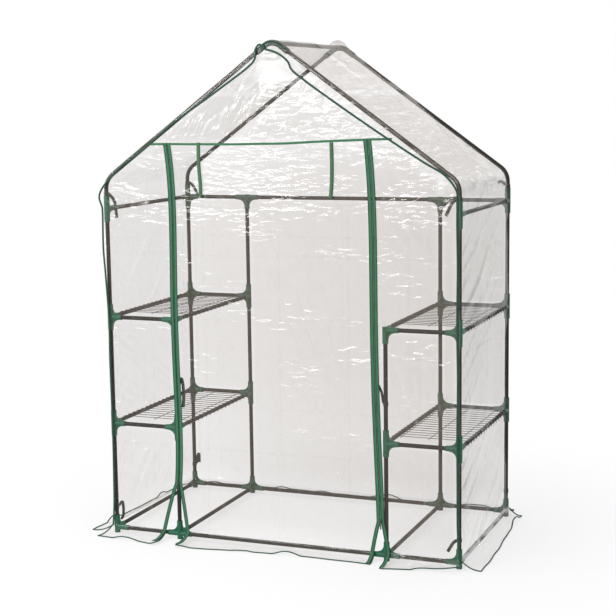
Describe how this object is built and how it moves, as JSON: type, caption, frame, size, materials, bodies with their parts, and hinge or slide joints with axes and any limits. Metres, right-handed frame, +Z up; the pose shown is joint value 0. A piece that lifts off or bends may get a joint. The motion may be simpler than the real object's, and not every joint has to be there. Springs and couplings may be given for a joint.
{
  "type": "walk-in plastic greenhouse",
  "caption": "Walk-in garden greenhouse: steel tube frame in moulded connectors, wire shelves beside an aisle, clear film cover with a zipped front and a ground skirt.",
  "frame": {"origin": "on the ground, under the middle of the frame", "axes": "+Z up, -Y is the front with the zipped door, +X to the right seen from the front"},
  "size_m": [1.596, 0.896, 1.9262],
  "materials": {
    "steel_tube": "powder coated, satin",
    "connector_plastic": "moulded, satin",
    "shelf_wire": "coated wire",
    "clear_film": "clear, glossy, wrinkled",
    "green_trim": "woven tape",
    "strap": "woven tape"
  },
  "bodies": {
    "root": {"front_left_post": "steel_tube", "front_right_post": "steel_tube", "back_left_post": "steel_tube", "back_right_post": "steel_tube", "front_left_inner_post": "steel_tube", "front_right_inner_post": "steel_tube", "back_left_inner_post": "steel_tube", "back_right_inner_post": "steel_tube", "front_base_rail": "steel_tube", "back_base_rail": "steel_tube", "left_base_rails": "steel_tube", "right_base_rails": "steel_tube", "left_lower_shelf_rails": "steel_tube", "left_upper_shelf_rails": "steel_tube", "right_lower_shelf_rails": "steel_tube", "right_upper_shelf_rails": "steel_tube", "back_eave_rail": "steel_tube", "side_eave_rails": "steel_tube", "front_rafters": "steel_tube", "back_rafters": "steel_tube", "ridge_tube": "steel_tube", "base_connectors": "connector_plastic", "lower_shelf_connectors": "connector_plastic", "upper_shelf_connectors": "connector_plastic", "eave_connectors": "connector_plastic", "ridge_connectors": "connector_plastic", "left_lower_shelf": "shelf_wire", "left_upper_shelf": "shelf_wire", "right_lower_shelf": "shelf_wire", "right_upper_shelf": "shelf_wire", "left_wall_film": "clear_film", "right_wall_film": "clear_film", "left_eave_film": "clear_film", "right_eave_film": "clear_film", "left_roof_film": "clear_film", "right_roof_film": "clear_film", "ridge_film": "clear_film", "back_film": "clear_film", "front_left_film": "clear_film", "front_right_film": "clear_film", "door_film": "clear_film", "gable_film": "clear_film", "ground_skirt": "clear_film", "left_zip": "green_trim", "right_zip": "green_trim", "front_binding": "green_trim", "door_seam": "green_trim", "hem": "green_trim", "roll_up_ties": "green_trim", "post_straps": "strap"}
  },
  "joints": []
}
